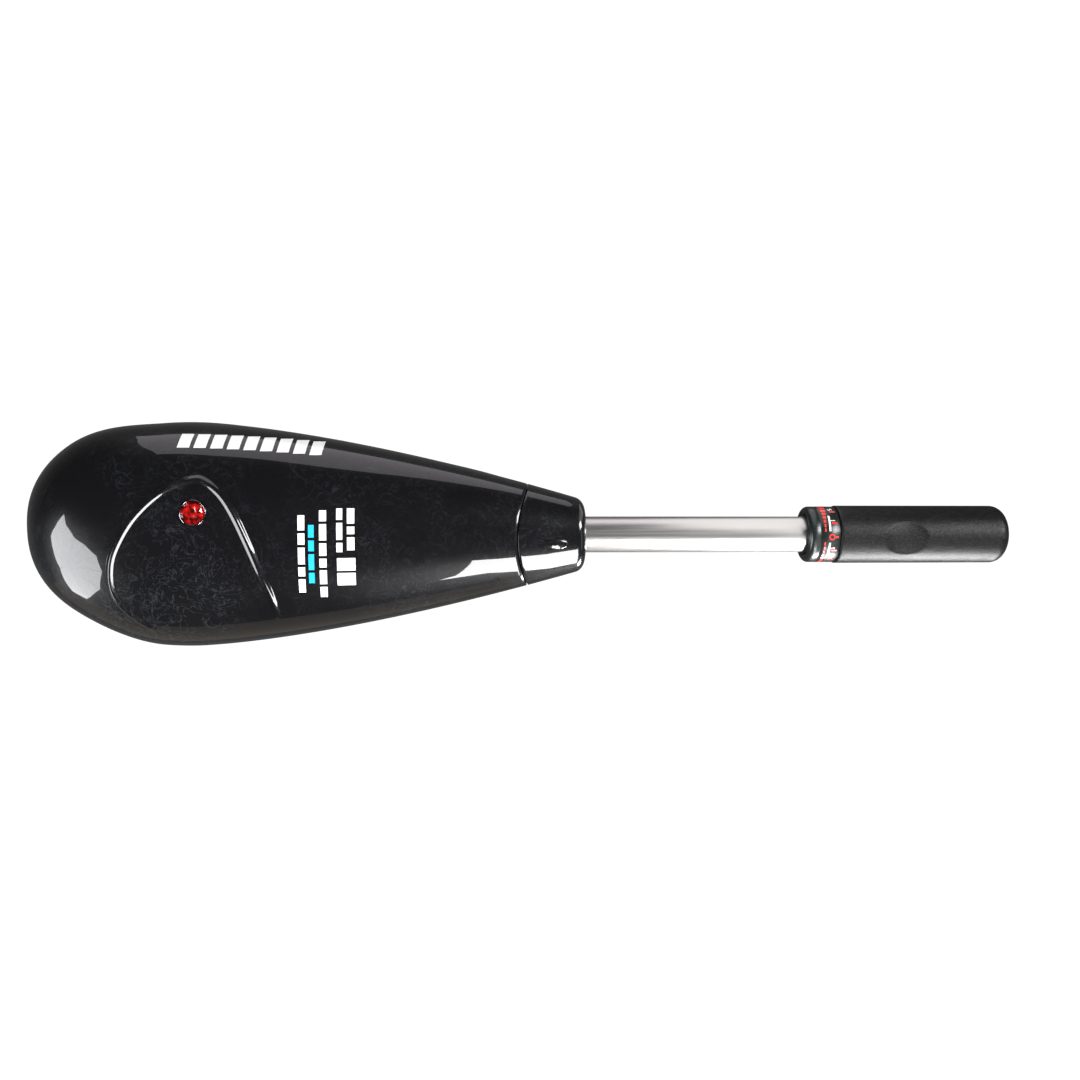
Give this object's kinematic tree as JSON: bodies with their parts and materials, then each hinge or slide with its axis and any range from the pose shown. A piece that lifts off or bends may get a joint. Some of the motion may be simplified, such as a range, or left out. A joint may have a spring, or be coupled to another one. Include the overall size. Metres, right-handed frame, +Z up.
{
  "type": "transom mount electric trolling motor",
  "caption": "Electric outboard with a teardrop control head, telescopic twist tiller, steerable sliding shaft, clamp bracket and a propeller pod.",
  "frame": {"origin": "centre of the bracket face that rests on top of the transom", "axes": "+Z up along the shaft, +X into the boat, the way the tiller points, +Y to the left"},
  "size_m": [0.705, 0.1348, 0.8706],
  "materials": {
    "gloss_black": "glossy",
    "grip_black": "fine matte grain",
    "dial_black": "satin gloss",
    "lens_red": "clear red",
    "bright_metal": "polished",
    "silver_tube": "satin anodised",
    "composite_shaft": "satin composite",
    "bracket_black": "glass-filled moulding",
    "pod_black": "satin paint",
    "steel": "stainless",
    "cast_socket": "as cast",
    "black_rubber": "soft",
    "white_bush": "acetal",
    "board_green": "circuit board",
    "copper": "copper",
    "carbon": "carbon",
    "magnet": "ferrite",
    "core_steel": "laminated steel",
    "prop_black": "satin"
  },
  "bodies": {
    "bracket": {"clamp_bracket": "bracket_black", "tilt_pin": "steel"},
    "tilt_knob": {"tilt_knob": "bracket_black"},
    "swivel": {"swivel_housing": "bracket_black", "swivel_bushes": "white_bush"},
    "tension_knob": {"tension_knob": "bracket_black", "tension_stud": "steel"},
    "collar": {"depth_collar": "bracket_black"},
    "depth_knob": {"depth_knob": "bracket_black", "depth_stud": "steel"},
    "motor": {"head_cover": "gloss_black", "head_base": "gloss_black", "cover_gasket": "black_rubber", "nose_collar": "gloss_black", "cover_screws": "steel", "nose_screws": "steel", "indicator_lens": "lens_red", "indicator_bezel": "bright_metal", "indicator_board": "board_green", "switch_body": "carbon", "switch_terminals": "copper", "motor_leads": "black_rubber", "tiller_bush": "white_bush", "shaft_tube": "composite_shaft", "shaft_socket": "cast_socket", "clamp_bolt": "steel", "clamp_bolt_nut": "steel", "cable_gland": "bracket_black", "gland_nut": "bracket_black", "motor_housing": "pod_black", "nose_cone": "pod_black", "rear_end_bell": "pod_black", "pod_o_rings": "black_rubber", "shaft_seal": "black_rubber", "pod_through_bolts": "steel", "field_magnets": "magnet", "pod_bearings": "steel", "brush_holder": "carbon", "brushes": "carbon"},
    "switch_rotor": {"switch_rotor": "white_bush"},
    "tiller": {"tiller_tube": "silver_tube", "rod_guides": "white_bush", "dial_collar": "dial_black"},
    "grip": {"twist_grip": "grip_black", "drive_rod": "steel", "grip_screw": "steel"},
    "rotor": {"armature_core": "core_steel", "windings": "copper", "commutator": "copper", "motor_shaft": "steel", "drive_pin": "steel", "propeller": "prop_black", "prop_washer": "steel", "prop_nut": "steel"},
    "left_pad": {"left_clamp_pad": "bracket_black"},
    "left_screw": {"left_clamp_screw": "steel", "left_clamp_handle": "bracket_black"},
    "right_pad": {"right_clamp_pad": "bracket_black"},
    "right_screw": {"right_clamp_screw": "steel", "right_clamp_handle": "bracket_black"}
  },
  "joints": [
    {"name": "tilt", "type": "hinge", "parent": "bracket", "child": "swivel", "pos_m": [-0.06, 0, 0.014], "axis": [0, 1, 0], "range_deg": [0, 80]},
    {"name": "tilt_lock", "type": "hinge", "parent": "bracket", "child": "tilt_knob", "pos_m": [-0.06, 0.04, 0.014], "axis": [0, 1, 0], "range_deg": [-360, 0]},
    {"name": "steer_tension", "type": "hinge", "parent": "swivel", "child": "tension_knob", "pos_m": [-0.084, 0.03, -0.062], "axis": [0, 1, 0], "range_deg": [-360, 0]},
    {"name": "steer", "type": "hinge", "parent": "swivel", "child": "collar", "pos_m": [-0.084, 0, 0.05], "axis": [0, 0, 1], "continuous": true},
    {"name": "depth_lock", "type": "hinge", "parent": "collar", "child": "depth_knob", "pos_m": [-0.084, -0.03, 0.0514], "axis": [0, 1, 0], "range_deg": [0, 360]},
    {"name": "depth", "type": "slide", "parent": "collar", "child": "motor", "axis": [0, 0, 1], "range_m": [-0.05, 0.25]},
    {"name": "extend", "type": "slide", "parent": "motor", "child": "tiller", "axis": [1, 0, 0], "range_m": [-0.1, 0]},
    {"name": "twist", "type": "hinge", "parent": "tiller", "child": "grip", "pos_m": [0.3, 0, 0.24], "axis": [-1, 0, 0], "range_deg": [-90, 150]},
    {"name": "switch_turn", "type": "hinge", "parent": "motor", "child": "switch_rotor", "pos_m": [-0.05, 0, 0.24], "axis": [-1, 0, 0], "range_deg": [-90, 150]},
    {"name": "propeller_spin", "type": "hinge", "parent": "motor", "child": "rotor", "pos_m": [-0.084, 0, -0.468], "axis": [1, 0, 0], "continuous": true},
    {"name": "left_clamp_travel", "type": "slide", "parent": "bracket", "child": "left_pad", "axis": [-1, 0, 0], "range_m": [-0.026, 0.016]},
    {"name": "left_clamp_turn", "type": "hinge", "parent": "left_pad", "child": "left_screw", "pos_m": [0.05, 0.02, -0.05], "axis": [-1, 0, 0], "continuous": true},
    {"name": "right_clamp_travel", "type": "slide", "parent": "bracket", "child": "right_pad", "axis": [-1, 0, 0], "range_m": [-0.026, 0.016]},
    {"name": "right_clamp_turn", "type": "hinge", "parent": "right_pad", "child": "right_screw", "pos_m": [0.05, -0.02, -0.05], "axis": [-1, 0, 0], "continuous": true}
  ],
  "couplings": [
    {"joint": "switch_turn", "follows": "twist", "ratio": 1},
    {"joint": "left_clamp_turn", "follows": "left_clamp_travel", "rad_per_m": 4188.8},
    {"joint": "right_clamp_turn", "follows": "right_clamp_travel", "rad_per_m": 4188.8}
  ]
}
